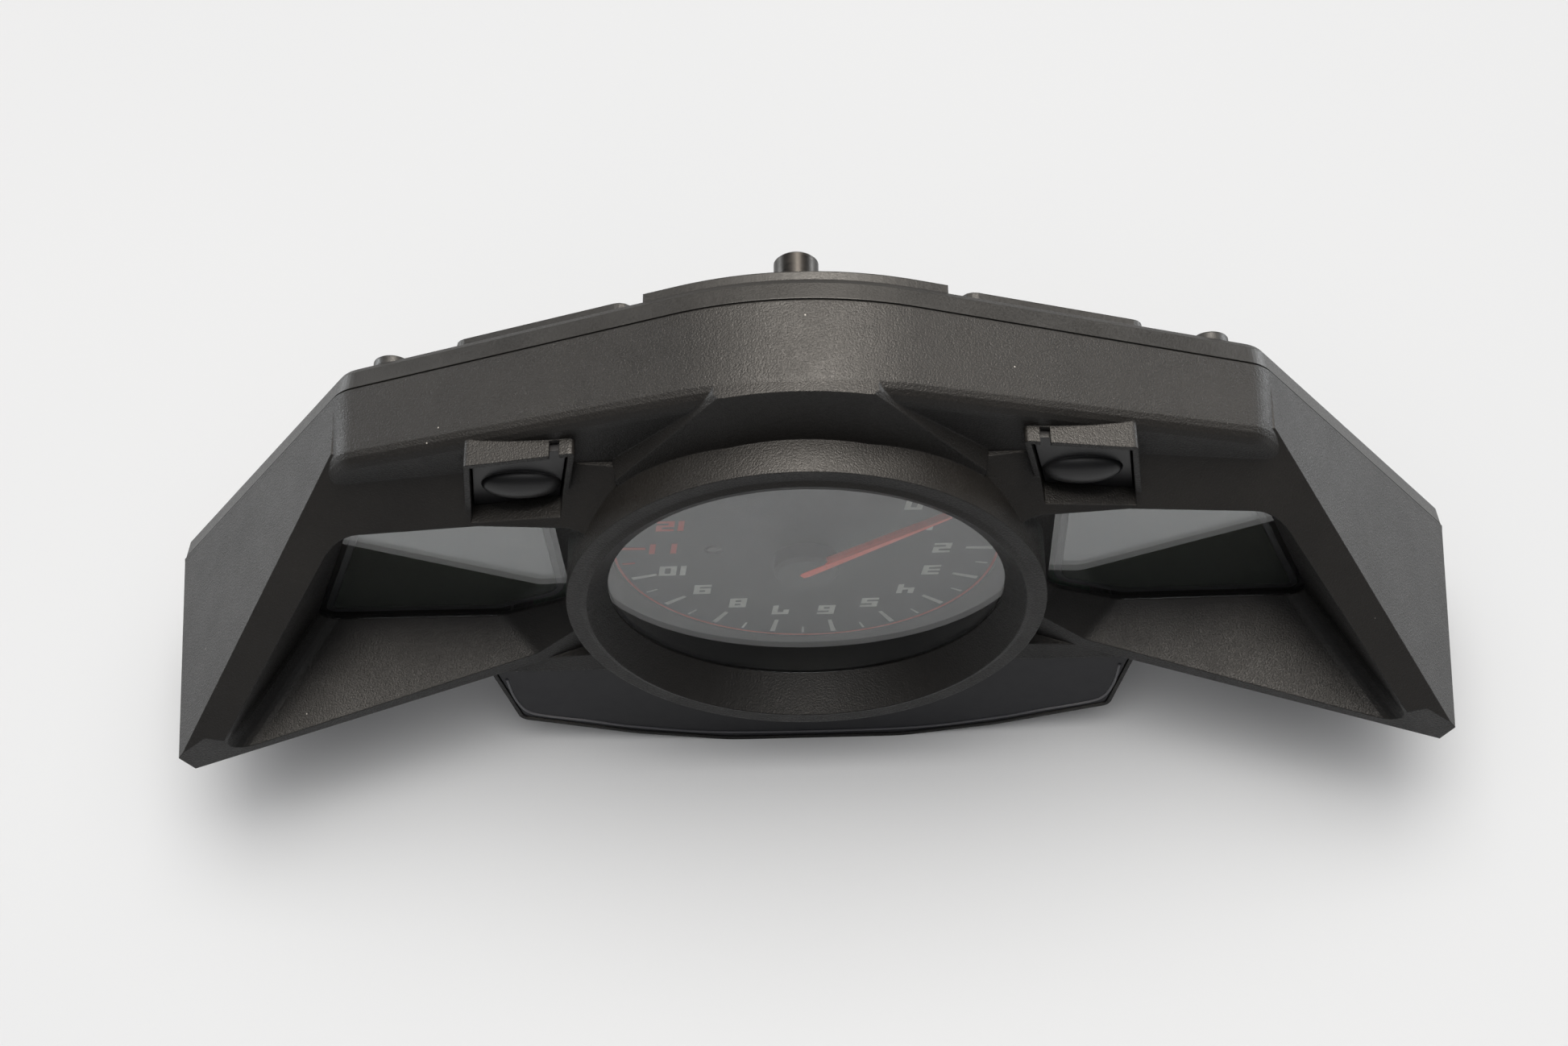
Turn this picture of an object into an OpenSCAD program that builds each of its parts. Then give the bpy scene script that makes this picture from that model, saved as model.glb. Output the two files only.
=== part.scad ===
// Motorcycle instrument cluster: a round tachometer between two hooded display wings.
//
// Each piece is drawn in the face frame, then the whole cluster is stood on its top edge.
//   x  across the cluster, towards the rider's right
//   y  up the dial, towards twelve o'clock
//   z  out of the dial, towards the rider, with the dial's face at z = 0

/* [Case outline] */
// Half width of the case on the parting line, at its upper outer corner
corner_x = 157.5; // [152:0.5:162]
// Height of that corner above the dial's centre
corner_y = 36.5; // [33:0.5:40]
// Half width of the case at its lower bend
bend_x = 103; // [99:0.5:107]
// Depth of the lower bend below the dial's centre
bend_y = 40; // [38:0.5:42]
// Rise over run of the lower wall, from the keel out to the bend
keel_slope = 0.35; // [0.3:0.01:0.4]
// Radius of the rounded keel
keel_r = 80; // [60:1:90]
// Radius of the rounded bend
bend_r = 10; // [4:0.5:14]
// Half width at the tip of the brow
brow_x = 154; // [150:0.5:155]
// Height of the tip of the brow
brow_y = 49.4; // [46:0.2:52]
// Height of the brow over the dial's centre line
brow_mid_y = 38.6; // [36:0.2:42]

/* [Case depth] */
// Depth of the parting line behind the dial
parting_depth = 20; // [18:0.5:22]
// Depth of the flat back of the rear cover behind the dial
back_depth = 27; // [25:0.5:29]
// How far the outer walls lean in, for each millimetre of depth
wall_draft = 0.075; // [0.02:0.005:0.09]
// Thickness of the moulded walls
wall = 2.5; // [2:0.1:3]
// Height of the lower shelf at the centre line
shelf_z = 2.2; // [1:0.1:3]
// Fall of the lower shelf for each millimetre outwards
shelf_fall = 0.04; // [0.02:0.01:0.05]
// Radius of the rounded shoulder between the lower wall and the shelf
shoulder_r = 4.5; // [3:0.5:6]

/* [Wings] */
// Rise of the display frame for each millimetre up the dial
frame_rise = 0.68; // [0.6:0.01:0.72]
// Fall of the display frame for each millimetre outwards
frame_fall = 0.18; // [0.12:0.01:0.2]
// Rise of the brow's front lip for each millimetre outwards
lip_rise = 0.295; // [0.25:0.005:0.32]
// Height of the lip at 89 mm from the centre line
lip_z = 15.2; // [14:0.1:17]

/* [Bezel and dial] */
// Outside radius of the bezel ring
bezel_r = 55.1; // [53:0.1:57]
// Radius of the rim's inner edge
rim_r = 50.6; // [49:0.1:52]
// Height of the rim at the height of the dial's centre
rim_z = 16.6; // [15:0.1:18]
// Tilt of the rim, higher at twelve o'clock
rim_tilt = 4.14; // [0:0.01:5]
// Radius of the clear opening over the dial
sight_r = 45.7; // [44:0.1:46]
// Height of the dial lens's outer face
lens_z = 11.5; // [10:0.1:12]
// Radius of the dial plate
dial_r = 47; // [46:0.1:47]
// Angle of the dial's zero mark, anticlockwise from three o'clock
zero_angle = 217.8; // [210:0.1:225]
// Length of the pointer from its shaft to its tip
pointer_reach = 42; // [36:0.5:43]

/* [Buttons] */
// Height of the button's plate
button_z = 2; // [1:0.1:3]
// Travel of each button
button_travel = 1.2; // [0.8:0.1:1.3]
// Height of the raised lip round each button
button_lip_z = 4.6; // [3.5:0.1:5.5]

/* [Fixings] */
// Radius of the rear mounting studs
stud_r = 5; // [4:0.5:6]
// Depth of the studs' ends behind the dial
stud_depth = 43; // [40:0.5:46]
// Radius of the case screws' shanks
screw_r = 1.5; // [1.2:0.1:1.6]

/* [Hidden] */
$fn = 96;

plastic = [0.09, 0.09, 0.09];
satin_plastic = [0.13, 0.13, 0.13];
clear = [0.8, 0.85, 0.85, 0.35];
top_edge_y = 80;
front_reach = 33.2;
half_depth = (front_reach + stud_depth) / 2;
keel_y = bend_y + keel_slope * bend_x;
parting_z = -parting_depth;
back_z = -back_depth;
groove = 0.6;
slice = 0.02;
big = 400;
ceiling_z = -4;
window_z = -0.8;
pane = 2;
board_top_z = -11.4;
board_t = 1.6;
panel_z = 8.4;
panel_t = 2;
cover_t = 2.4;

// Half outlines on the right of the centre line
half_case = [[0, -keel_y], [bend_x, -bend_y], [corner_x, corner_y], [brow_x, brow_y], [0, brow_mid_y]];
case_radii = [0, bend_r, 1.5, 1.5, 0];
half_panel = [[0, top_edge_y], [22, top_edge_y], [46, 75.9], [75, 67.8], [79.5, 48], [79.5, 41.5], [50, 39.5],
    [0, 39.5]];
panel_radii = [0, 40, 60, 3, 0, 0, 0, 0];
window = [[57.5, -26], [57.5, 26], [76, 34.2], [121.9, 33.8], [102.9, -18]];
window_radii = [4, 8, 8, 4, 9];
// Where the recess meets the plane 40 mm above the window's level
mouth_rise = 40;
mouth = [[20, -33], [20, 36], [38.7, 44.4], [149.4, 44.4], [123.9, -23.7]];
mouth_radii = [6, 8, 8, 5, 13];
button_well = [[48, -51], [72.6, -47.7], [75.6, -23.9], [52.4, -28.1]];
button_centre = [62.1, -37.5];
stud_points = [[0, -52], [80, 31], [-80, 31]];
screw_points = [[14, -62], [50, -49], [98, -30], [128, 14], [146, 40], [64, 66]];
board_screw_points = [[30, -40], [88, -22], [50, 44]];
lamp_point = [21.5, -0.5];
motor_hole_r = 1.05;
panel_tilt = 0.145;
shaft_r = 1;

// Unit vector along v
function unit(v) = v / norm(v);

// Points of an arc of radius r that rounds corner b of the path a, b, c
function corner_arc(a, b, c, r, steps) =
    r <= 0 ? [b] :
    let (
        u = unit(a - b),
        v = unit(c - b),
        half = acos(u * v) / 2,
        centre = b + unit(u + v) * r / sin(half),
        start = b + u * r / tan(half) - centre,
        finish = b + v * r / tan(half) - centre,
        first = atan2(start[1], start[0]),
        sweep = atan2(cross(start, finish), start * finish)
    )
    [for (i = [0:steps]) centre + r * [cos(first + sweep * i / steps), sin(first + sweep * i / steps)]];

// A closed outline with each corner rounded to its own radius
function rounded(points, radii, steps = 6) =
    let (n = len(points))
    [for (i = [0:n - 1])
        each corner_arc(points[(i + n - 1) % n], points[i], points[(i + 1) % n], radii[i], steps)];

// How far the outer wall has leaned in at height z
function lean(z) = wall_draft * (z - parting_z);

// Centre of the keel's arc, which crosses the centre line square
keel_centre_y = -keel_y + keel_r / cos(atan(keel_slope));

module mirror_copy() {
    children();
    mirror([1, 0, 0]) children();
}

// One set of children at each point of the list
module at_each(points) {
    for (p = points) translate([p[0], p[1], 0]) children();
}

// Right half of the case's outline, pulled in by inset
module half_outline(inset = 0) {
    intersection() {
        offset(delta = -inset) union() {
            intersection() {
                union() {
                    polygon(rounded(half_case, case_radii));
                    mirror([1, 0]) polygon(rounded(half_case, case_radii));
                }
                union() {
                    translate([0, keel_centre_y]) circle(r = keel_r, $fn = 180);
                    translate([-big, -keel_y + keel_slope * keel_r * sin(atan(keel_slope))])
                        square([2 * big, big]);
                }
            }
        }
        translate([0, -big / 2]) square([big, big]);
    }
}

// Whole outline of the case and the indicator housing, joined across the brow
module full_outline(inset = 0) {
    mirror_copy() half_outline(inset);
    panel_outline(inset);
    translate([inset - 78.5, 20]) square([157 - 2 * inset, 30]);
}

module panel_outline(inset = 0) {
    offset(delta = -inset) intersection() {
        union() {
            polygon(rounded(half_panel, panel_radii, 8));
            mirror([1, 0]) polygon(rounded(half_panel, panel_radii, 8));
        }
        translate([-big, 0]) square([2 * big, big]);
    }
}

// A thin slice at height z
module slice_at(z) {
    translate([0, 0, z]) linear_extrude(slice) children();
}

// A thin slice whose height falls outwards with the lower shelf
module shelf_slice(z) {
    multmatrix([[1, 0, 0, 0], [0, 1, 0, 0], [-shelf_fall, 0, 1, z], [0, 0, 0, 1]])
        linear_extrude(slice) children();
}

// Everything on the far side of the plane through point with the given normal
module beyond(point, normal) {
    n = unit(normal);
    translate(point) rotate([0, acos(n[2]), atan2(n[1], n[0])])
        translate([-big, -big, 0]) cube([2 * big, 2 * big, big]);
}

// Cutter above the display frame's face, lowered by drop
module above_frame(drop = 0) {
    beyond([106, -25, 0.9 - drop], [frame_fall, -frame_rise, 1]);
}

// Cutter above the brow's lip, lowered by drop
module above_lip(drop = 0) {
    intersection() {
        beyond([89, 0, lip_z - drop], [-lip_rise, 0, 1]);
        union() {
            translate([30, 31, -big / 2]) cube([big, big, big]);
            translate([30, 15, -big / 2]) cube([45, big, big]);
        }
    }
}

// Lower body of one half: lower wall, rounded shoulder and shelf
module half_body() {
    hull() {
        slice_at(parting_z) half_outline(0);
        for (turn = [0:18:90])
            shelf_slice(shelf_z - slice - shoulder_r * (1 - sin(turn)))
                half_outline(lean(0) + shoulder_r * (1 - cos(turn)));
    }
}

// Plan of the wing, above the ledge over the shelf
module wing_plan(inset) {
    intersection() {
        half_outline(inset);
        polygon([[20, -42], [50, -36.7], [100, -25.6], [104.5, -25], [104.5, -60], [190, -60], [190, 80],
            [20, 80]]);
    }
}

// One wing: a drafted block under the frame's face and the brow's lip
module wing() {
    difference() {
        hull() {
            slice_at(parting_z) wing_plan(0.05);
            slice_at(36) wing_plan(lean(36) + 0.05);
        }
        above_frame();
        above_lip();
        translate([-1, -26, 8]) cube([59, 90, 60]);
    }
}

// Space in front of one display window
module recess(grow = 0) {
    hull() {
        slice_at(window_z) offset(delta = grow) polygon(rounded(window, window_radii));
        slice_at(window_z + mouth_rise) offset(delta = grow) polygon(rounded(mouth, mouth_radii));
    }
}

// Hollow inside the wing, outboard of the recess's side wall
module wing_hollow() {
    difference() {
        translate([0, 0, ceiling_z - 1]) linear_extrude(40)
            intersection() {
                half_outline(lean(40) + wall);
                polygon([[90, -22], [190, -22], [190, 80], [90, 80]]);
            }
        above_frame(wall * 1.3);
        above_lip(wall * 1.2);
        beyond([110.1 + 4, 0, 0], [-1, 0.375, 0.578]);
        translate([40, 32.5, -30]) cube([88, 40, 90]);
    }
}

// Raised centre panel between the lower wall and the bezel ring
module buttress() {
    difference() {
        translate([0, 0, -10]) linear_extrude(22)
            intersection() {
                mirror_copy() half_outline(lean(2) + 0.12);
                polygon([[-17.5, -80], [17.5, -80], [17.5, -67.4], [41, -41.9], [38, -30],
                    [-38, -30], [-41, -41.9], [-17.5, -67.4]]);
            }
        beyond([0, -68.8, 1.8], [0, -0.21, 1]);
        mirror_copy() {
            beyond([15, -60, 3.65], [0.13, -0.21, 1]);
            beyond([17.06, -66.99, 1.9], [0.735, -0.678, 0.5]);
        }
    }
}

// The bezel's tube, cut by the tilted rim
module bezel_tube() {
    difference() {
        translate([0, 0, parting_z]) cylinder(r = bezel_r, h = 60);
        beyond([0, 0, rim_z], [0, -tan(rim_tilt), 1]);
    }
}

// Flared space in front of the dial lens
module bezel_flare() {
    hull() {
        translate([0, 0, lens_z]) cylinder(r = sight_r, h = slice);
        translate([0, 0, rim_z + 0.7]) rotate([rim_tilt, 0, 0]) cylinder(r = rim_r, h = 6);
    }
}

// Raised conical lip on the rim, highest at its inner edge
module rim_crown() {
    translate([0, 0, rim_z]) rotate([rim_tilt, 0, 0])
        translate([0, 0, -1]) cylinder(r1 = bezel_r - 1, r2 = rim_r - 0.5, h = 1.8);
}

// Housing under the indicator panel
module indicator_housing() {
    difference() {
        translate([0, 0, parting_z]) linear_extrude(40) panel_outline(0);
        above_panel(-0.3);
        intersection() {
            linear_extrude(40) indicator_plan(0.2);
            above_panel(panel_t);
        }
    }
}

// Cutter above the indicator panel's face, lowered by drop
module above_panel(drop = 0) {
    beyond([0, 45, panel_z - drop], [0, -panel_tilt, 1]);
}

// Plan of the indicator lens, grown by clearance
module indicator_plan(clearance = 0) {
    difference() {
        panel_outline(1.2 - clearance);
        translate([0, 0]) circle(r = bezel_r + 0.6 - clearance);
        translate([-200, -100]) square([400, 146.6 - clearance]);
    }
}

module button_plan(inset) {
    offset(delta = -inset) polygon(rounded(button_well, [1, 1, 1, 1], 3));
}

// Raised lip round a button, open towards the display frame
module button_lip() {
    difference() {
        translate([0, 0, ceiling_z]) linear_extrude(button_lip_z - ceiling_z) button_plan(0);
        beyond([60, -40, button_lip_z - 0.4], [-0.03, 0.02, 1]);
    }
}

// Well for a button's plate, its stem hole and the notch at its inner corner
module button_cut() {
    translate([0, 0, -1.4 - button_travel]) linear_extrude(30) button_plan(1.3);
    translate([button_centre[0], button_centre[1], ceiling_z - 6]) cylinder(r = 3.4, h = 8);
    translate([51.6, -52, 0.4]) cube([2.2, 5, 8]);
}

// Boss for a case screw, from the parting line to the ceiling
module screw_boss() {
    translate([0, 0, parting_z]) cylinder(r = 4, h = 17, $fn = 48);
}

module screw_bore() {
    translate([0, 0, parting_z - 1]) cylinder(r = screw_r + 0.1, h = 14, $fn = 48);
}

// Hollow inside the front case, less the parts that stay solid
module case_hollow() {
    difference() {
        union() {
            translate([0, 0, parting_z - 1]) linear_extrude(ceiling_z - parting_z + 1)
                full_outline(lean(ceiling_z) + wall);
            mirror_copy() wing_hollow();
            difference() {
                translate([0, 0, -5]) linear_extrude(40) indicator_plan(-2.2);
                above_panel(panel_t - 0.1);
            }
        }
        mirror_copy() at_each(screw_points) screw_boss();
    }
}

module front_case() {
    color(plastic) difference() {
        union() {
            mirror_copy() difference() {
                union() {
                    half_body();
                    wing();
                    button_lip();
                }
                recess();
                button_cut();
            }
            buttress();
            bezel_tube();
            rim_crown();
            indicator_housing();
        }
        case_hollow();
        bezel_flare();
        translate([0, 0, parting_z - 1]) cylinder(r = dial_r + 0.3, h = lens_z - parting_z + 1);
        mirror_copy() {
            translate([0, 0, ceiling_z - 1]) linear_extrude(window_z - ceiling_z + 1)
                offset(delta = 1.7) polygon(rounded(window, window_radii));
            translate([button_centre[0], button_centre[1], ceiling_z - 6]) cylinder(r = 3.4, h = 8);
        }
        mirror_copy() at_each(screw_points) screw_bore();
    }
}

// Right half of the rear cover's shell
module half_cover() {
    hull() {
        slice_at(parting_z - groove - slice) half_outline(0.3);
        slice_at(back_z + 2) half_outline(0.9);
        slice_at(back_z + 0.7) half_outline(1.7);
        slice_at(back_z) half_outline(3.2);
    }
}

module rear_cover() {
    color(satin_plastic) difference() {
        union() {
            mirror_copy() {
                half_cover();
                translate([0, 0, back_z - 2.3]) linear_extrude(2.8)
                    polygon(rounded([[36.5, -59.4], [77, -45.1], [74, -33], [33.5, -46]], [3, 3, 3, 3], 4));
                translate([92, -37.5, back_z - 1.4]) cylinder(r = 4.2, h = 2);
            }
            translate([0, 0, back_z - 1.6]) linear_extrude(2.2)
                mirror_copy() intersection() {
                    half_outline(1.9);
                    translate([-1, -90]) square([34, 58]);
                }
            translate([0, 0, back_z]) linear_extrude(-groove + parting_z - back_z) {
                panel_outline(0.3);
                translate([-40, 30]) square([80, 15]);
            }
            at_each(stud_points) translate([0, 0, back_z - 1.5]) cylinder(r = stud_r + 3, h = 5);
            translate([-31, 6, back_z - 2]) cube([42, 20, 4]);
        }
        difference() {
            translate([0, 0, back_z + cover_t]) linear_extrude(20) full_outline(3.6);
            mirror_copy() at_each(screw_points)
                translate([0, 0, back_z]) cylinder(r = 4, h = 6.4, $fn = 48);
            at_each(stud_points) translate([0, 0, back_z]) cylinder(r = stud_r + 3, h = 4.4);
        }
        mirror_copy() at_each(screw_points) {
            translate([0, 0, back_z - 5]) cylinder(r = screw_r + 0.3, h = 20, $fn = 48);
            translate([0, 0, back_z - 5]) cylinder(r = 3.5, h = 5, $fn = 48);
        }
        at_each(stud_points) translate([0, 0, back_z - 5]) cylinder(r = stud_r + 1, h = 20);
        translate([-27, 9, back_z - 5]) cube([34, 14, 20]);
        translate([60, 10, back_z - 5]) cylinder(r = 3, h = 20);
    }
}

// Rubber seal clamped in the parting groove
module case_seal() {
    color([0.03, 0.03, 0.03]) translate([0, 0, parting_z - groove]) linear_extrude(groove)
        difference() {
            full_outline(1);
            full_outline(2.3);
        }
}

module tach_lens() {
    color(clear) translate([0, 0, lens_z - pane]) cylinder(r = dial_r + 0.1, h = pane);
}

module display_window() {
    color(clear) translate([0, 0, window_z - pane]) linear_extrude(pane)
        offset(delta = 1.4) polygon(rounded(window, window_radii));
}

module left_window() {
    mirror([1, 0, 0]) display_window();
}

module right_window() {
    display_window();
}

module indicator_lens() {
    color([0.12, 0.13, 0.15, 0.8]) difference() {
        linear_extrude(40) indicator_plan(0);
        above_panel();
        beyond([0, 45, panel_z - panel_t], [0, panel_tilt, -1]);
    }
}

// Black tube between the dial and its lens
module dial_surround() {
    color([0.02, 0.02, 0.02]) translate([0, 0, 0.1]) difference() {
        cylinder(r = dial_r, h = lens_z - pane - 0.1);
        translate([0, 0, -1]) cylinder(r = sight_r, h = 20);
    }
}

module dial_plate() {
    color([0.03, 0.03, 0.03]) difference() {
        translate([0, 0, -1.2]) cylinder(r = dial_r, h = 1.2);
        translate([0, 0, -3]) cylinder(r = 2.5, h = 6);
        translate([lamp_point[0], lamp_point[1], -3]) cylinder(r = 2.1, h = 6);
    }
}

// Clear disc that carries light out under the dial
module dial_light_guide() {
    color([0.85, 0.9, 0.9, 0.5]) difference() {
        translate([0, 0, -3.4]) cylinder(r = dial_r - 1, h = 2.2);
        translate([0, 0, -5]) cylinder(r = 13, h = 8);
        translate([lamp_point[0], lamp_point[1], -5]) cylinder(r = 2.1, h = 8);
    }
}

module dial_lamp() {
    color([0.6, 0.1, 0.08]) translate([lamp_point[0], lamp_point[1], -3.2]) {
        cylinder(r = 2, h = 2.6);
        translate([0, 0, 2.6]) cylinder(r1 = 2, r2 = 1.2, h = 0.6);
    }
}

module pointer() {
    color([0.85, 0.12, 0.08]) rotate([0, 0, zero_angle]) difference() {
        translate([0, 0, 5.4]) linear_extrude(1)
            polygon([[-6, -1.6], [6, -1.3], [pointer_reach, -0.45], [pointer_reach, 0.45],
                [6, 1.3], [-6, 1.6]]);
        translate([0, 0, 4]) cylinder(r = shaft_r, h = 4);
    }
}

module pointer_cap() {
    color([0.04, 0.04, 0.04]) difference() {
        union() {
            translate([0, 0, 2.6]) cylinder(r = 7.6, h = 3.6);
            translate([0, 0, 6.2]) cylinder(r1 = 7.6, r2 = 6.6, h = 0.8);
        }
        translate([0, 0, 1]) cylinder(r = shaft_r, h = 5.6);
        rotate([0, 0, zero_angle]) translate([-6, -1.6, 5.4]) cube([20, 3.2, 1]);
    }
}

module pointer_shaft() {
    color([0.75, 0.75, 0.75]) translate([0, 0, -8]) cylinder(r = shaft_r, h = 14.4);
}

module motor_case() {
    color([0.06, 0.06, 0.07]) difference() {
        union() {
            translate([0, 0, board_top_z]) linear_extrude(7.4)
                polygon(rounded([[-11, -15], [11, -15], [11, 9], [5, 14], [-5, 14], [-11, 9]],
                    [3, 3, 3, 3, 3, 3], 4));
            translate([0, 0, -4.1]) cylinder(r = 3.4, h = 2);
        }
        translate([0, 0, -8.5]) cylinder(r = motor_hole_r, h = 12);
    }
}

module main_board() {
    color([0.05, 0.28, 0.12]) translate([0, 0, board_top_z - board_t]) linear_extrude(board_t)
        difference() {
            full_outline(8.5);
            mirror_copy() at_each(screw_points) circle(r = 4.6, $fn = 48);
            mirror_copy() at_each(board_screw_points) circle(r = 1.8, $fn = 32);
            translate([118, -20]) square([60, 90]);
            translate([-178, -20]) square([60, 90]);
        }
}

// Glass, frame and light panel of one display, stacked under its window
module display_glass() {
    color([0.35, 0.4, 0.36]) translate([0, 0, -5.6]) linear_extrude(2.2)
        offset(delta = -3.4) polygon(rounded(window, window_radii));
}

module display_frame() {
    color([0.7, 0.7, 0.68]) translate([0, 0, board_top_z]) linear_extrude(8.2) difference() {
        offset(delta = -1.6) polygon(rounded(window, window_radii));
        offset(delta = -3.2) polygon(rounded(window, window_radii));
    }
}

module display_backlight() {
    color([0.9, 0.92, 0.9]) translate([0, 0, -9.2]) linear_extrude(3.4)
        offset(delta = -3.6) polygon(rounded(window, window_radii));
}

module left_display() {
    mirror([1, 0, 0]) display_glass();
}

module right_display() {
    display_glass();
}

module left_display_frame() {
    mirror([1, 0, 0]) display_frame();
}

module right_display_frame() {
    display_frame();
}

module left_backlight() {
    mirror([1, 0, 0]) display_backlight();
}

module right_backlight() {
    display_backlight();
}

// Baffle with one cell for each indicator lamp
module indicator_box() {
    color([0.8, 0.8, 0.78]) difference() {
        translate([-43, 60.5, board_top_z]) cube([86, 11.5, 17]);
        for (cell = [0:6]) translate([-41.4 + 12 * cell, 62, board_top_z - 1]) cube([10.8, 8.5, 20]);
    }
}

module indicator_lamps() {
    color([0.95, 0.9, 0.6]) for (cell = [0:6])
        translate([-37.75 + 12 * cell, 64.8, board_top_z]) cube([3.5, 2.8, 1.4]);
}

// One push button: plate, raised finger pad and stem
module push_button() {
    color(satin_plastic) {
        translate([0, 0, -1]) linear_extrude(button_z + 1) button_plan(1.75);
        translate([button_centre[0] - 0.4, button_centre[1] + 2, button_z]) scale([8.8, 4.8, 3])
            sphere(r = 1, $fn = 48);
        translate([button_centre[0], button_centre[1], -5.7]) cylinder(r = 3, h = 5.7);
    }
}

module left_button() {
    mirror([1, 0, 0]) push_button();
}

module right_button() {
    push_button();
}

module button_seals() {
    color([0.03, 0.03, 0.03]) mirror_copy()
        translate([button_centre[0], button_centre[1], ceiling_z - 1.3]) difference() {
            cylinder(r = 5.5, h = 1.3);
            translate([0, 0, -1]) cylinder(r = 3.35, h = 4);
        }
}

module button_switches() {
    color([0.15, 0.15, 0.16]) mirror_copy()
        translate([button_centre[0], button_centre[1], board_top_z]) {
            translate([-3, -3, 0]) cube([6, 6, 3.2]);
            translate([0, 0, 3.1]) cylinder(r = 1.7, h = 1);
        }
}

// Wire-side connector socket that passes through the rear cover
module connector_shell() {
    color([0.12, 0.12, 0.12]) difference() {
        translate([-26.7, 9.3, board_top_z - board_t - 26.6]) cube([33.4, 13.4, 26.6]);
        translate([-25.1, 10.9, board_top_z - board_t - 27.6]) cube([30.2, 10.2, 15]);
        pin_rows();
    }
}

module connector_pins() {
    color([0.8, 0.7, 0.4]) pin_rows();
}

// Two rows of eight square pins
module pin_rows() {
    for (row = [0:1], column = [0:7])
        translate([-23.1 + 3.6 * column, 13 + 4.4 * row, board_top_z - board_t - 21])
            cube([1, 1, 21]);
}

module rear_studs() {
    color([0.2, 0.2, 0.2]) at_each(stud_points) {
        translate([0, 0, -stud_depth]) cylinder(r1 = stud_r - 0.6, r2 = stud_r, h = 0.6);
        translate([0, 0, 0.6 - stud_depth]) cylinder(r = stud_r, h = stud_depth - back_depth - 2.1);
        translate([0, 0, back_z - 1.5]) cylinder(r = stud_r + 1, h = 5.9);
    }
}

// Flange on the inner end of each stud
module stud_nuts() {
    color([0.6, 0.6, 0.62]) at_each(stud_points)
        translate([0, 0, back_z + 4.4]) cylinder(r = stud_r + 2.8, h = 2.4, $fn = 6);
}

module case_screws() {
    color([0.5, 0.5, 0.52]) mirror_copy() at_each(screw_points)
        translate([0, 0, back_z]) difference() {
            union() {
                translate([0, 0, -2]) cylinder(r = 3.2, h = 2, $fn = 48);
                cylinder(r = screw_r, h = 18, $fn = 48);
            }
            rotate([0, 0, 45]) translate([-2, -0.35, -3]) cube([4, 0.7, 2]);
            rotate([0, 0, -45]) translate([-2, -0.35, -3]) cube([4, 0.7, 2]);
        }
}

module board_screws() {
    color([0.5, 0.5, 0.52]) mirror_copy() at_each(board_screw_points)
        translate([0, 0, board_top_z - board_t]) {
            translate([0, 0, -1.6]) cylinder(r = 2.8, h = 1.6, $fn = 32);
            cylinder(r = 1.5, h = 4, $fn = 32);
        }
}

module vent_cap() {
    color([0.25, 0.25, 0.25]) translate([60, 10, back_z - 1.6]) {
        cylinder(r = 5, h = 1.6);
        translate([0, 0, 1.6]) cylinder(r = 3, h = 3);
    }
}

module board_chips() {
    color([0.08, 0.08, 0.08]) {
        translate([16, 18, board_top_z - board_t - 1.4]) cube([12, 12, 1.4]);
        translate([-28, -30, board_top_z - board_t - 1.4]) cube([9, 7, 1.4]);
        translate([36, -26, board_top_z - board_t - 1.4]) cube([6, 5, 1.4]);
    }
}

// Stands the face frame on its top edge, with the dial facing -Y
module standing() {
    translate([0, half_depth - stud_depth, top_edge_y]) rotate([-90, 0, 180]) children();
}

standing() front_case();
standing() rear_cover();
standing() case_seal();
standing() tach_lens();
standing() left_window();
standing() right_window();
standing() indicator_lens();
standing() dial_surround();
standing() dial_plate();
standing() dial_light_guide();
standing() dial_lamp();
standing() pointer();
standing() pointer_cap();
standing() pointer_shaft();
standing() motor_case();
standing() main_board();
standing() left_display();
standing() right_display();
standing() left_display_frame();
standing() right_display_frame();
standing() left_backlight();
standing() right_backlight();
standing() indicator_box();
standing() indicator_lamps();
standing() left_button();
standing() right_button();
standing() button_seals();
standing() button_switches();
standing() connector_shell();
standing() connector_pins();
standing() rear_studs();
standing() stud_nuts();
standing() case_screws();
standing() board_screws();
standing() vent_cap();
standing() board_chips();
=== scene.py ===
"""Looks of a motorcycle instrument cluster that stands upside down on its top edge."""

import math

import bmesh
import bpy
from mathutils import Matrix, Vector


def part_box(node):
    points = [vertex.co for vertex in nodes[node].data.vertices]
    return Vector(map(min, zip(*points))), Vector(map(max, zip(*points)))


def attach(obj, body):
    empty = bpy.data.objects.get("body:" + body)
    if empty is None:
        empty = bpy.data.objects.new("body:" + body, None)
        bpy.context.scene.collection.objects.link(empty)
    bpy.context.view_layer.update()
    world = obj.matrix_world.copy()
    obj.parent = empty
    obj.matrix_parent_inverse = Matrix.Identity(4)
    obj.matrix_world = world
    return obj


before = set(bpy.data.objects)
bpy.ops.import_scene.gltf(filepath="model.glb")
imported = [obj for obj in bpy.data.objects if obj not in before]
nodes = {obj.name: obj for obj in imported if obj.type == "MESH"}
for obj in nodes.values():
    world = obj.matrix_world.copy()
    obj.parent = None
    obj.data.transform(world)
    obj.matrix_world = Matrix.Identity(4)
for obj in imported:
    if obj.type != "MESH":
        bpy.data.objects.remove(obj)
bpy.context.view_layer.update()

MM = 0.001
dial_low, dial_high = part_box("dial_plate")
DIAL = Vector(((dial_low.x + dial_high.x) / 2, dial_low.y, (dial_low.z + dial_high.z) / 2))


def at(x, y, z):
    """A point given in the dial's own axes, in mm: rider's right, up the dial, out of it."""
    return DIAL + Vector((-x, -z, -y)) * MM


# ---------------------------------------------------------------- camera
CAMERA_BACK = 268.6
CAMERA_ABOVE = 495.0
CAMERA_ASIDE = 11.0
HEADING = 3.336
DOWN = 60.967
TILT = 4.457
LENS = 55.5

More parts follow.
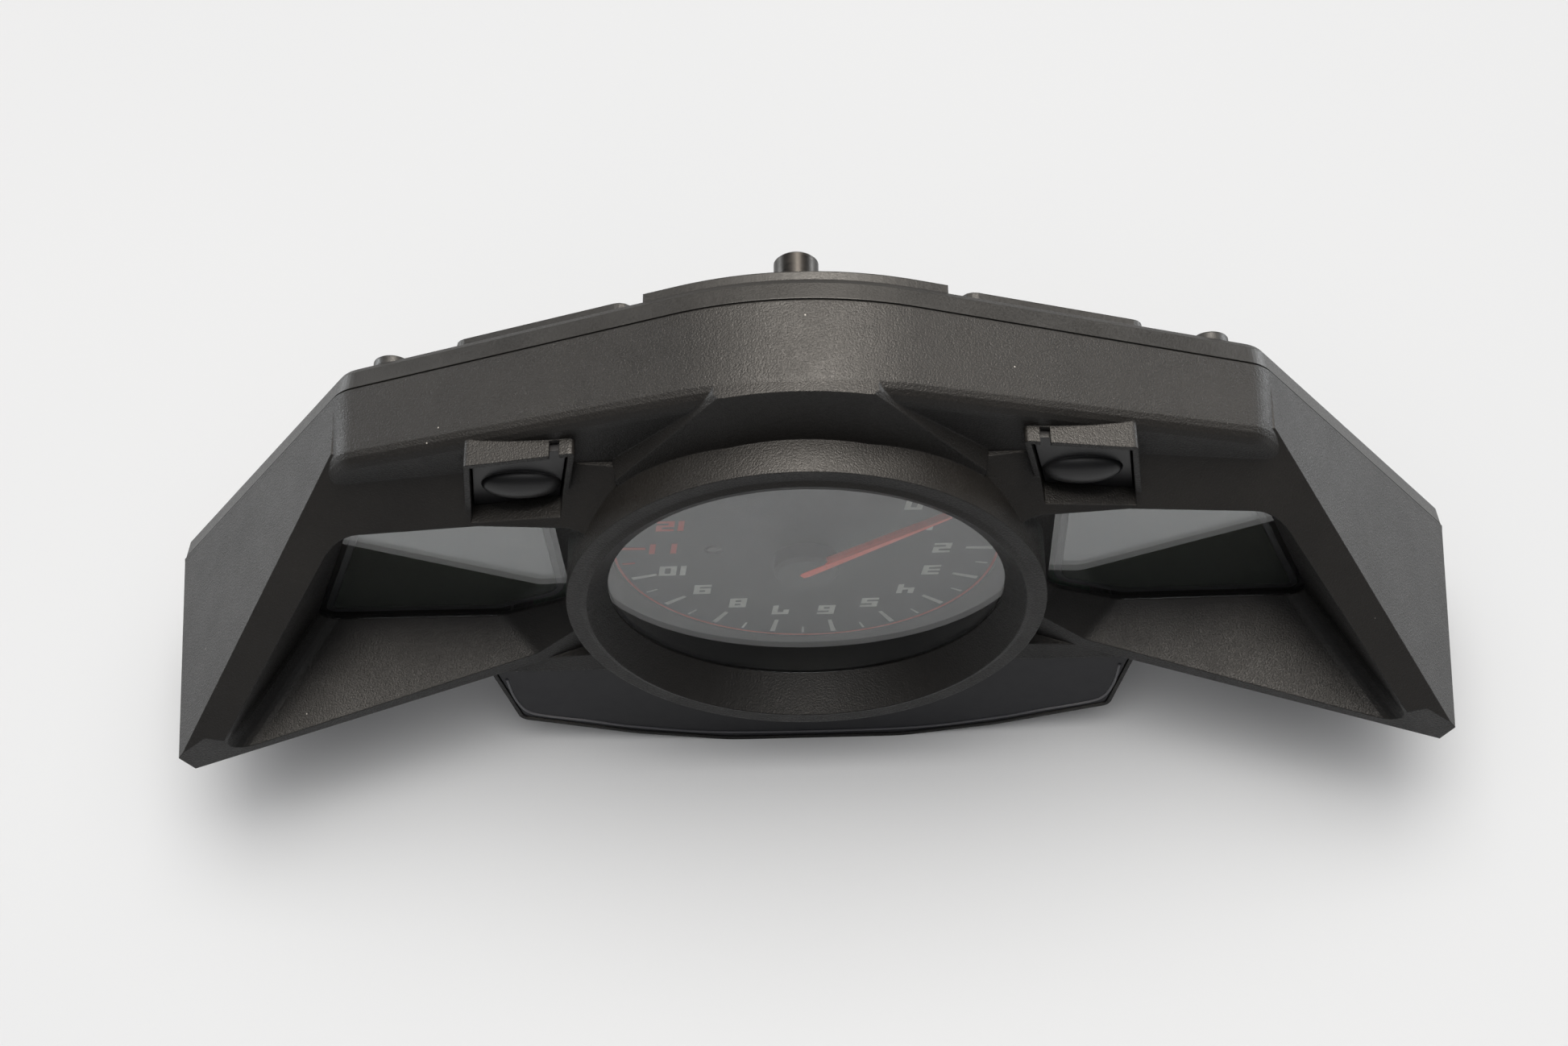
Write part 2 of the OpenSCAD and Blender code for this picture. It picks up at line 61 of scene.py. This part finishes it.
camera_data = bpy.data.cameras.new("camera")
camera_data.lens = LENS
camera_data.sensor_width = 36.0
camera_data.clip_start = 0.01
camera = bpy.data.objects.new("camera", camera_data)
bpy.context.scene.collection.objects.link(camera)
turn = (
    Matrix.Rotation(math.radians(HEADING), 4, "Z")
    @ Matrix.Rotation(math.radians(90 - DOWN), 4, "X")
    @ Matrix.Rotation(math.radians(-TILT), 4, "Z")
)
place = DIAL + Vector((CAMERA_ASIDE, -CAMERA_BACK, CAMERA_ABOVE)) * MM
camera.matrix_world = Matrix.Translation(place) @ turn
bpy.context.scene.camera = camera

scene = bpy.context.scene
scene.view_settings.view_transform = "Standard"


# ---------------------------------------------------------------- materials
class Nodes:
    """A short way to build a node material."""

    def __init__(self, name):
        self.material = bpy.data.materials.new(name)
        self.material.use_nodes = True
        self.tree = self.material.node_tree
        self.tree.nodes.clear()
        self.out = self.add("ShaderNodeOutputMaterial")
        self.where = self.add("ShaderNodeTexCoord").outputs["Object"]

    def add(self, kind, **settings):
        node = self.tree.nodes.new(kind)
        for key, value in settings.items():
            setattr(node, key, value)
        return node

    def join(self, a, b):
        self.tree.links.new(a, b)

    def noise(self, scale, detail=3.0, roughness=0.55, stretch=(1, 1, 1)):
        mapping = self.add("ShaderNodeMapping")
        mapping.inputs["Scale"].default_value = stretch
        self.join(self.where, mapping.inputs["Vector"])
        node = self.add("ShaderNodeTexNoise")
        node.inputs["Scale"].default_value = scale
        node.inputs["Detail"].default_value = detail
        node.inputs["Roughness"].default_value = roughness
        self.join(mapping.outputs["Vector"], node.inputs["Vector"])
        return node.outputs["Fac"]

    def cells(self, scale, randomness=1.0):
        node = self.add("ShaderNodeTexVoronoi")
        node.inputs["Scale"].default_value = scale
        node.inputs["Randomness"].default_value = randomness
        self.join(self.where, node.inputs["Vector"])
        return node.outputs["Distance"]

    def spread(self, value, low, high, from_low=0.3, from_high=0.7):
        node = self.add("ShaderNodeMapRange")
        node.inputs["From Min"].default_value = from_low
        node.inputs["From Max"].default_value = from_high
        node.inputs["To Min"].default_value = low
        node.inputs["To Max"].default_value = high
        self.join(value, node.inputs["Value"])
        return node.outputs["Result"]

    def tint(self, value, dark, light):
        node = self.add("ShaderNodeMix", data_type="RGBA")
        node.inputs["A"].default_value = (*dark, 1)
        node.inputs["B"].default_value = (*light, 1)
        self.join(value, node.inputs["Factor"])
        return node.outputs["Result"]

    def bump(self, value, strength, height, normal=None):
        node = self.add("ShaderNodeBump")
        node.inputs["Strength"].default_value = strength
        node.inputs["Distance"].default_value = height
        self.join(value, node.inputs["Height"])
        if normal is not None:
            self.join(normal, node.inputs["Normal"])
        return node.outputs["Normal"]

    def rounded_edges(self, radius):
        node = self.add("ShaderNodeBevel", samples=6)
        node.inputs["Radius"].default_value = radius
        return node.outputs["Normal"]

    def surface(self, **sockets):
        shader = self.add("ShaderNodeBsdfPrincipled")
        for key, value in sockets.items():
            socket = shader.inputs[key.replace("_", " ")]
            if isinstance(value, bpy.types.NodeSocket):
                self.join(value, socket)
            else:
                socket.default_value = value
        self.join(shader.outputs["BSDF"], self.out.inputs["Surface"])
        return shader


def grained_plastic(name, dark, light, rough, grain, depth, edge, dust=0.0, gloss=0.5):
    """Moulded plastic with an eroded grain, faint handling marks and a little dust."""
    m = Nodes(name)
    smudge = m.noise(28, 4, 0.6)
    grit = m.noise(grain, 2.5, 0.6)
    colour = m.tint(m.spread(smudge, 0, 1), dark, light)
    if dust:
        fleck = m.spread(m.cells(150), 1, 0, 0.0, dust)
        keep = m.spread(m.noise(60, 1), 0, 1, 0.56, 0.6)
        both = m.add("ShaderNodeMath", operation="MULTIPLY")
        m.join(fleck, both.inputs[0])
        m.join(keep, both.inputs[1])
        speck = m.add("ShaderNodeMix", data_type="RGBA")
        m.join(both.outputs[0], speck.inputs["Factor"])
        m.join(colour, speck.inputs["A"])
        speck.inputs["B"].default_value = (0.35, 0.34, 0.32, 1)
        colour = speck.outputs["Result"]
    patch = m.spread(m.noise(90, 3), rough - 0.035, rough + 0.05)
    pitted = m.add("ShaderNodeMath", operation="ADD")
    m.join(patch, pitted.inputs[0])
    m.join(m.spread(grit, -0.1, 0.1), pitted.inputs[1])
    m.surface(
        Base_Color=colour,
        Roughness=pitted.outputs[0],
        Specular_IOR_Level=gloss,
        Normal=m.bump(grit, 1.0, depth, m.rounded_edges(edge)),
    )
    return m.material


def smooth_plastic(name, dark, light, rough, edge=0.0003, scale=400, gloss=0.5):
    m = Nodes(name)
    m.surface(
        Specular_IOR_Level=gloss,
        Base_Color=m.tint(m.spread(m.noise(35, 4), 0, 1), dark, light),
        Roughness=m.spread(m.noise(120, 3), rough - 0.03, rough + 0.05),
        Normal=m.bump(m.noise(scale, 2), 0.15, 0.00002, m.rounded_edges(edge)),
    )
    return m.material


def clear_pane(name, tint, rough):
    """Polished clear plastic that lets lamps through."""
    m = Nodes(name)
    shader = m.surface(
        Base_Color=(*tint, 1),
        Transmission_Weight=1.0,
        IOR=1.5,
        Roughness=m.spread(m.noise(60, 3), rough, rough + 0.03),
    )
    through = m.add("ShaderNodeBsdfTransparent")
    through.inputs["Color"].default_value = (*tint, 1)
    path = m.add("ShaderNodeLightPath")
    mix = m.add("ShaderNodeMixShader")
    m.join(path.outputs["Is Shadow Ray"], mix.inputs["Fac"])
    m.join(shader.outputs["BSDF"], mix.inputs[1])
    m.join(through.outputs["BSDF"], mix.inputs[2])
    m.join(mix.outputs["Shader"], m.out.inputs["Surface"])
    return m.material


def brushed_metal(name, colour, rough, scale=260):
    m = Nodes(name)
    lines = m.noise(scale, 3, 0.6, (1, 12, 1))
    m.surface(
        Base_Color=m.tint(m.spread(m.noise(70, 3), 0, 1), [c * 0.85 for c in colour], colour),
        Metallic=1.0,
        Roughness=m.spread(lines, rough - 0.06, rough + 0.08),
        Normal=m.bump(lines, 0.15, 0.00002),
    )
    return m.material


def printed(name, colour, rough=0.55):
    """Screen-printed ink with slightly uneven cover."""
    m = Nodes(name)
    m.surface(
        Base_Color=m.tint(m.spread(m.noise(900, 2), 0, 1), [c * 0.82 for c in colour], colour),
        Roughness=m.spread(m.noise(500, 2), rough - 0.05, rough + 0.05),
    )
    return m.material


case_plastic = grained_plastic(
    "case_plastic",
    dark=(0.0048, 0.0044, 0.0041),
    light=(0.0072, 0.0066, 0.006),
    rough=0.47,
    grain=2300,
    depth=0.00016,
    edge=0.0005,
    dust=0.035,
    gloss=0.27,
)
cover_plastic = grained_plastic(
    "cover_plastic",
    dark=(0.009, 0.0088, 0.0085),
    light=(0.013, 0.0126, 0.012),
    rough=0.44,
    grain=2400,
    depth=0.00004,
    edge=0.0004,
    dust=0.02,
    gloss=0.35,
)
button_plastic = smooth_plastic(
    "button_plastic", (0.007, 0.007, 0.0075), (0.010, 0.010, 0.011), 0.36, gloss=0.32
)
black_plastic = smooth_plastic("black_plastic", (0.005, 0.005, 0.0055), (0.008, 0.008, 0.009), 0.5)
white_plastic = smooth_plastic("white_plastic", (0.6, 0.6, 0.57), (0.72, 0.72, 0.69), 0.5)
rubber = smooth_plastic("rubber", (0.012, 0.012, 0.012), (0.02, 0.02, 0.02), 0.75, 0.0002, 900)
clear_lens = clear_pane("clear_lens", (0.93, 0.95, 0.95), 0.0)
steel = brushed_metal("steel", (0.55, 0.55, 0.56), 0.35)
stud_metal = brushed_metal("stud_metal", (0.036, 0.034, 0.032), 0.38)
blackened = brushed_metal("blackened_steel", (0.016, 0.0155, 0.015), 0.5)
brass = brushed_metal("brass", (0.75, 0.58, 0.28), 0.3)
pale_ink = printed("pale_ink", (0.62, 0.63, 0.58))
red_ink = printed("red_ink", (0.62, 0.07, 0.045))
pointer_red = printed("pointer_red", (0.9, 0.11, 0.06), 0.35)


def dial_face():
    m = Nodes("dial_face")
    weave = m.noise(2200, 2)
    m.surface(
        Base_Color=m.tint(
            m.spread(m.noise(40, 3), 0, 1), (0.006, 0.0065, 0.0075), (0.009, 0.0095, 0.0105)
        ),
        Roughness=m.spread(m.noise(200, 3), 0.5, 0.62),
        Normal=m.bump(weave, 0.3, 0.00003),
    )
    return m.material


def smoked_panel():
    m = Nodes("smoked_lens")
    m.surface(
        Base_Color=m.tint(
            m.spread(m.noise(30, 3), 0, 1), (0.005, 0.005, 0.007), (0.008, 0.008, 0.011)
        ),
        Roughness=m.spread(m.noise(300, 3), 0.36, 0.44),
        Specular_IOR_Level=0.25,
        Normal=m.bump(m.noise(1500, 2), 0.15, 0.00003, m.rounded_edges(0.0004)),
    )
    return m.material


def display_glass():
    """Reflective display: a grey-green sheet with a fine row pattern under a polished face."""
    m = Nodes("display_glass")
    rows = m.add("ShaderNodeTexWave", wave_type="BANDS", bands_direction="Z")
    rows.inputs["Scale"].default_value = 420
    m.join(m.where, rows.inputs["Vector"])
    m.surface(
        Base_Color=m.tint(
            m.spread(rows.outputs["Fac"], 0.2, 0.5, 0, 1), (0.020, 0.024, 0.020), (0.034, 0.040, 0.032)
        ),
        Roughness=m.spread(m.noise(50, 3), 0.05, 0.09),
        Coat_Weight=0.6,
        Coat_Roughness=0.03,
    )
    return m.material


def circuit_board():
    m = Nodes("circuit_board")
    tracks = m.add("ShaderNodeTexBrick")
    tracks.inputs["Scale"].default_value = 260
    tracks.inputs["Color1"].default_value = (0.01, 0.09, 0.03, 1)
    tracks.inputs["Color2"].default_value = (0.012, 0.11, 0.04, 1)
    tracks.inputs["Mortar"].default_value = (0.02, 0.16, 0.07, 1)
    m.join(m.where, tracks.inputs["Vector"])
    m.surface(Base_Color=tracks.outputs["Color"], Roughness=m.spread(m.noise(200), 0.3, 0.4))
    return m.material


def lamp_lens():
    m = Nodes("lamp_lens")
    m.surface(
        Base_Color=m.tint(
            m.spread(m.noise(300, 2), 0, 1), (0.022, 0.02, 0.02), (0.045, 0.04, 0.04)
        ),
        Roughness=m.spread(m.noise(200, 2), 0.3, 0.38),
    )
    return m.material


def light_guide():
    m = Nodes("light_guide")
    m.surface(
        Base_Color=m.tint(m.spread(m.noise(100, 2), 0, 1), (0.7, 0.75, 0.75), (0.85, 0.9, 0.9)),
        Roughness=m.spread(m.noise(200, 2), 0.2, 0.3),
    )
    return m.material


looks = {
    "front_case": case_plastic,
    "rear_cover": cover_plastic,
    "case_seal": rubber,
    "tach_lens": clear_lens,
    "left_window": clear_lens,
    "right_window": clear_lens,
    "indicator_lens": smoked_panel(),
    "dial_surround": black_plastic,
    "dial_plate": dial_face(),
    "dial_light_guide": light_guide(),
    "dial_lamp": lamp_lens(),
    "pointer": pointer_red,
    "pointer_cap": black_plastic,
    "pointer_shaft": steel,
    "motor_case": black_plastic,
    "main_board": circuit_board(),
    "left_display": display_glass(),
    "left_display_frame": black_plastic,
    "right_display_frame": black_plastic,
    "left_backlight": white_plastic,
    "right_backlight": white_plastic,
    "indicator_box": white_plastic,
    "indicator_lamps": lamp_lens(),
    "left_button": button_plastic,
    "right_button": button_plastic,
    "button_seals": rubber,
    "button_switches": black_plastic,
    "connector_shell": black_plastic,
    "connector_pins": brass,
    "rear_studs": stud_metal,
    "stud_nuts": steel,
    "case_screws": blackened,
    "board_screws": steel,
    "vent_cap": rubber,
    "board_chips": black_plastic,
}
looks["right_display"] = looks["left_display"]
for name, node in nodes.items():
    for holder in node.material_slots:
        holder.link = "OBJECT"
        holder.material = looks[name]


# ---------------------------------------------------------------- dial print
PRINT_Z = 0.02
PRINT_TOP = 0.07
STEP_ANGLE = 20.07
MIDDLE_NUMBER = 6.5
DIAL_TURN = 2.69


def dial_angle(number):
    """Clockwise angle from twelve o'clock of a number on the dial."""
    return math.radians((number - MIDDLE_NUMBER) * STEP_ANGLE + DIAL_TURN)


def polar(radius, angle):
    return radius * math.sin(angle), radius * math.cos(angle)


def piece(name, mesh_maker, material, body="case", smooth=False):
    """A new piece whose mesh is filled by mesh_maker, riding on a body."""
    bm = bmesh.new()
    mesh_maker(bm)
    mesh = bpy.data.meshes.new(name)
    bmesh.ops.recalc_face_normals(bm, faces=bm.faces)
    bm.to_mesh(mesh)
    bm.free()
    obj = bpy.data.objects.new(name, mesh)
    bpy.context.scene.collection.objects.link(obj)
    mesh.materials.append(material)
    for p in mesh.polygons:
        p.use_smooth = smooth
    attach(obj, body)
    return obj


def slab(bm, outline, low, high):
    """A closed prism over an outline in the dial's plane."""
    base = [bm.verts.new(at(x, y, low)) for x, y in outline]
    top = [bm.verts.new(at(x, y, high)) for x, y in outline]
    bm.faces.new(base)
    bm.faces.new(top)
    count = len(outline)
    for i in range(count):
        bm.faces.new((base[i], base[(i + 1) % count], top[(i + 1) % count], top[i]))


def radial_bar(bm, angle, inner, outer, width_in, width_out):
    s, c = math.sin(angle), math.cos(angle)
    outline = []
    for r, w in ((inner, -width_in), (outer, -width_out), (outer, width_out), (inner, width_in)):
        outline.append((r * s + w / 2 * c, r * c - w / 2 * s))
    slab(bm, outline, PRINT_Z, PRINT_TOP)


def arc_band(bm, start, stop, inner, outer, parts):
    for i in range(parts):
        a = start + (stop - start) * i / parts
        b = start + (stop - start) * (i + 1) / parts
        outline = [polar(inner, a), polar(outer, a), polar(outer, b), polar(inner, b)]
        slab(bm, outline, PRINT_Z, PRINT_TOP)


TICK_IN, TICK_OUT = 37.3, 43.6


def pale_marks(bm):
    for number in range(0, 11):
        radial_bar(bm, dial_angle(number), TICK_IN, TICK_OUT, 0.9, 1.25)
    for number in range(0, 10):
        radial_bar(bm, dial_angle(number + 0.5), TICK_OUT - 3.0, TICK_OUT, 0.45, 0.6)


def red_marks(bm):
    for number in (11, 12):
        radial_bar(bm, dial_angle(number), TICK_IN, TICK_OUT, 0.9, 1.25)
    for number in (10, 11):
        radial_bar(bm, dial_angle(number + 0.5), TICK_OUT - 3.0, TICK_OUT, 0.45, 0.6)
    arc_band(bm, dial_angle(0), dial_angle(12), TICK_OUT + 0.9, TICK_OUT + 1.5, 90)


# Each numeral is drawn with the strokes of a squared-off stencil
STROKES = {
    "0": "top bottom left_up left_down right_up right_down",
    "1": "right_up right_down",
    "2": "top right_up middle left_down bottom",
    "3": "top right_up middle right_down bottom",
    "4": "left_up middle right_up right_down",
    "5": "top left_up middle right_down bottom",
    "6": "top left_up left_down middle right_down bottom",
    "7": "left_up top right_up right_down",
    "8": "top bottom middle left_up left_down right_up right_down",
    "9": "top bottom middle left_up right_up right_down",
}
DIGIT_W, DIGIT_H, STROKE_X, STROKE_Y = 4.1, 4.6, 1.35, 0.95


def digit(bm, character, cx, cy):
    w, h = DIGIT_W / 2, DIGIT_H / 2
    bars = {
        "top": (-w, h - STROKE_Y, w, h),
        "bottom": (-w, -h, w, -h + STROKE_Y),
        "middle": (-w, -STROKE_Y / 2, w, STROKE_Y / 2),
        "left_up": (-w, 0, -w + STROKE_X, h),
        "left_down": (-w, -h, -w + STROKE_X, 0),
        "right_up": (w - STROKE_X, 0, w, h),
        "right_down": (w - STROKE_X, -h, w, 0),
    }
    slant = 0.16
    for i, stroke in enumerate(STROKES[character].split()):
        x0, y0, x1, y1 = bars[stroke]
        outline = [(x0, y0), (x1, y0), (x1, y1), (x0, y1)]
        outline = [(cx + x + slant * y, cy + y) for x, y in outline]
        slab(bm, outline, PRINT_Z, PRINT_TOP - 0.002 * i)


NUMERAL_R = 31.8


def numerals(numbers):
    def fill(bm):
        for number in numbers:
            x, y = polar(NUMERAL_R, dial_angle(number))
            text = str(number)
            gap = DIGIT_W + 0.9
            for i, character in enumerate(text):
                digit(bm, character, x + (i - (len(text) - 1) / 2) * gap, y)

    return fill


piece("dial_ticks", pale_marks, pale_ink)
piece("dial_red_ticks", red_marks, red_ink)
piece("dial_numerals", numerals(range(0, 11)), pale_ink)
piece("dial_red_numerals", numerals((11, 12)), red_ink)


# ---------------------------------------------------------------- indicator panel's border, a ridge coloured as a painted highlight
PANEL_Z, PANEL_SLOPE, PANEL_Y = 8.4, 0.145, 45.0
BORDER_HALF = [
    (76.4, 50.0), (75.6, 58.0), (73.4, 64.2), (69.0, 66.9), (58.0, 69.8), (45.4, 73.2), (22.0, 76.8)
]


def curve_points(points, steps):
    """A smooth run through the points."""
    ends = [points[0]] + points + [points[-1]]
    run = []
    for i in range(1, len(ends) - 2):
        a, b, c, d = (Vector(p) for p in ends[i - 1 : i + 3])
        for k in range(steps):
            t = k / steps
            square = 2 * a - 5 * b + 4 * c - d
            cube = 3 * b - a - 3 * c + d
            run.append(0.5 * (2 * b + (c - a) * t + square * t * t + cube * t**3))
    return run + [Vector(points[-1])]


def border_line(bm):
    path = curve_points(BORDER_HALF + [(-x, y) for x, y in reversed(BORDER_HALF)], 8)
    section = [(-0.45, -0.05), (-0.3, 0.2), (0.0, 0.28), (0.3, 0.2), (0.45, -0.05)]
    rings = []
    for i, p in enumerate(path):
        along = (path[min(i + 1, len(path) - 1)] - path[max(i - 1, 0)]).normalized()
        side = Vector((-along.y, along.x))
        ring = []
        for across, up in section:
            q = p + side * across
            ring.append(bm.verts.new(at(q.x, q.y, PANEL_Z + PANEL_SLOPE * (q.y - PANEL_Y) + up)))
        rings.append(ring)
    for a, b in zip(rings, rings[1:]):
        for k in range(len(section)):
            j = (k + 1) % len(section)
            bm.faces.new((a[k], a[j], b[j], b[k]))
    bm.faces.new(rings[0])
    bm.faces.new(rings[-1])


# The ridge's pale grey is a painted highlight: it stands in for the light line along the panel's edge,
# not for a lighter plastic.
border_painted_highlight = smooth_plastic("border_painted_highlight", (0.055, 0.055, 0.062), (0.075, 0.075, 0.082), 0.4)
piece("panel_border", border_line, border_painted_highlight, smooth=True)


# ---------------------------------------------------------------- raised red line along the pointer
ZERO_ANGLE = 217.8
CAP_TOP, CAP_EDGE, POINTER_TOP = 7.0, 7.6, 6.35


def pointer_line(bm):
    turn = math.radians(ZERO_ANGLE)
    profile = [(-1.2, 0.9), (0.0, 1.25), (CAP_EDGE - 1, 1.15), (CAP_EDGE + 0.1, 1.1), (41.8, 0.42)]
    rings = []
    for along, half in profile:
        low = CAP_TOP - 0.1 if along < CAP_EDGE else POINTER_TOP
        top = CAP_TOP + 0.12
        ring = []
        for across, height in ((-half, low), (-half * 0.8, top), (half * 0.8, top), (half, low)):
            x = along * math.cos(turn) - across * math.sin(turn)
            y = along * math.sin(turn) + across * math.cos(turn)
            ring.append(bm.verts.new(at(x, y, height)))
        rings.append(ring)
    for a, b in zip(rings, rings[1:]):
        for k in range(4):
            bm.faces.new((a[k], a[(k + 1) % 4], b[(k + 1) % 4], b[k]))
    bm.faces.new(rings[0])
    bm.faces.new(rings[-1])


piece("pointer_line", pointer_line, pointer_red, body="tacho_pointer")


# ---------------------------------------------------------------- floor, world and lights
FLOOR_HALF = 8.0
floor_mesh = bpy.data.meshes.new("floor")
bm = bmesh.new()
bmesh.ops.create_grid(bm, x_segments=4, y_segments=4, size=FLOOR_HALF)
bm.to_mesh(floor_mesh)
bm.free()
floor = bpy.data.objects.new("floor", floor_mesh)
bpy.context.scene.collection.objects.link(floor)
paper = Nodes("paper")
paper.surface(
    Base_Color=paper.tint(
        paper.spread(paper.noise(3, 2), 0, 1), (0.80, 0.805, 0.81), (0.82, 0.822, 0.825)
    ),
    Roughness=0.6,
)
floor_mesh.materials.append(paper.material)

world = bpy.data.worlds.new("studio")
scene.world = world
world.use_nodes = True
tree = world.node_tree
background = tree.nodes["Background"]
coords = tree.nodes.new("ShaderNodeTexCoord")
split = tree.nodes.new("ShaderNodeSeparateXYZ")
ramp = tree.nodes.new("ShaderNodeValToRGB")
tree.links.new(coords.outputs["Generated"], split.inputs["Vector"])
tree.links.new(split.outputs["Z"], ramp.inputs["Fac"])
tree.links.new(ramp.outputs["Color"], background.inputs["Color"])
# The sky is dark at the horizon and bright overhead, like a lamp hung above a dim room
ramp.color_ramp.elements[0].position = 0.0
ramp.color_ramp.elements[0].color = (0.07, 0.07, 0.075, 1)
ramp.color_ramp.elements[1].position = 1.0
ramp.color_ramp.elements[1].color = (2.7, 2.68, 2.64, 1)
for height, level in ((0.62, 0.14), (0.88, 0.8)):
    step = ramp.color_ramp.elements.new(height)
    step.color = (level, level, level * 1.01, 1)
background.inputs["Strength"].default_value = 1.3


object_only = bpy.data.collections.new("object_only")
object_only.objects.link(floor)
object_only.collection_objects[0].light_linking.link_state = "EXCLUDE"


def softbox(name, place, width, depth, watts, colour, on_floor=False):
    """A rectangular lamp aimed at the dial. Most leave the floor out, so its shadow stays soft."""
    data = bpy.data.lights.new(name, "AREA")
    data.shape = "RECTANGLE"
    data.size = width
    data.size_y = depth
    data.energy = watts
    data.color = colour
    lamp = bpy.data.objects.new(name, data)
    bpy.context.scene.collection.objects.link(lamp)
    lamp.location = place
    lamp.rotation_euler = (DIAL - Vector(place)).to_track_quat("-Z", "Y").to_euler()
    if not on_floor:
        lamp.light_linking.receiver_collection = object_only


softbox("top", (0.0, 0.3, 1.4), 0.9, 0.9, 5.5, (1.0, 0.98, 0.95), on_floor=True)
softbox("key", (0.1, 0.26, 1.3), 0.3, 0.95, 39, (1.0, 0.92, 0.82))
softbox("fill_left", (-1.25, 0.55, 0.1), 0.8, 0.5, 17, (0.95, 0.98, 1.0))
softbox("fill_right", (1.25, 0.55, 0.1), 0.8, 0.5, 21, (0.95, 0.98, 1.0))
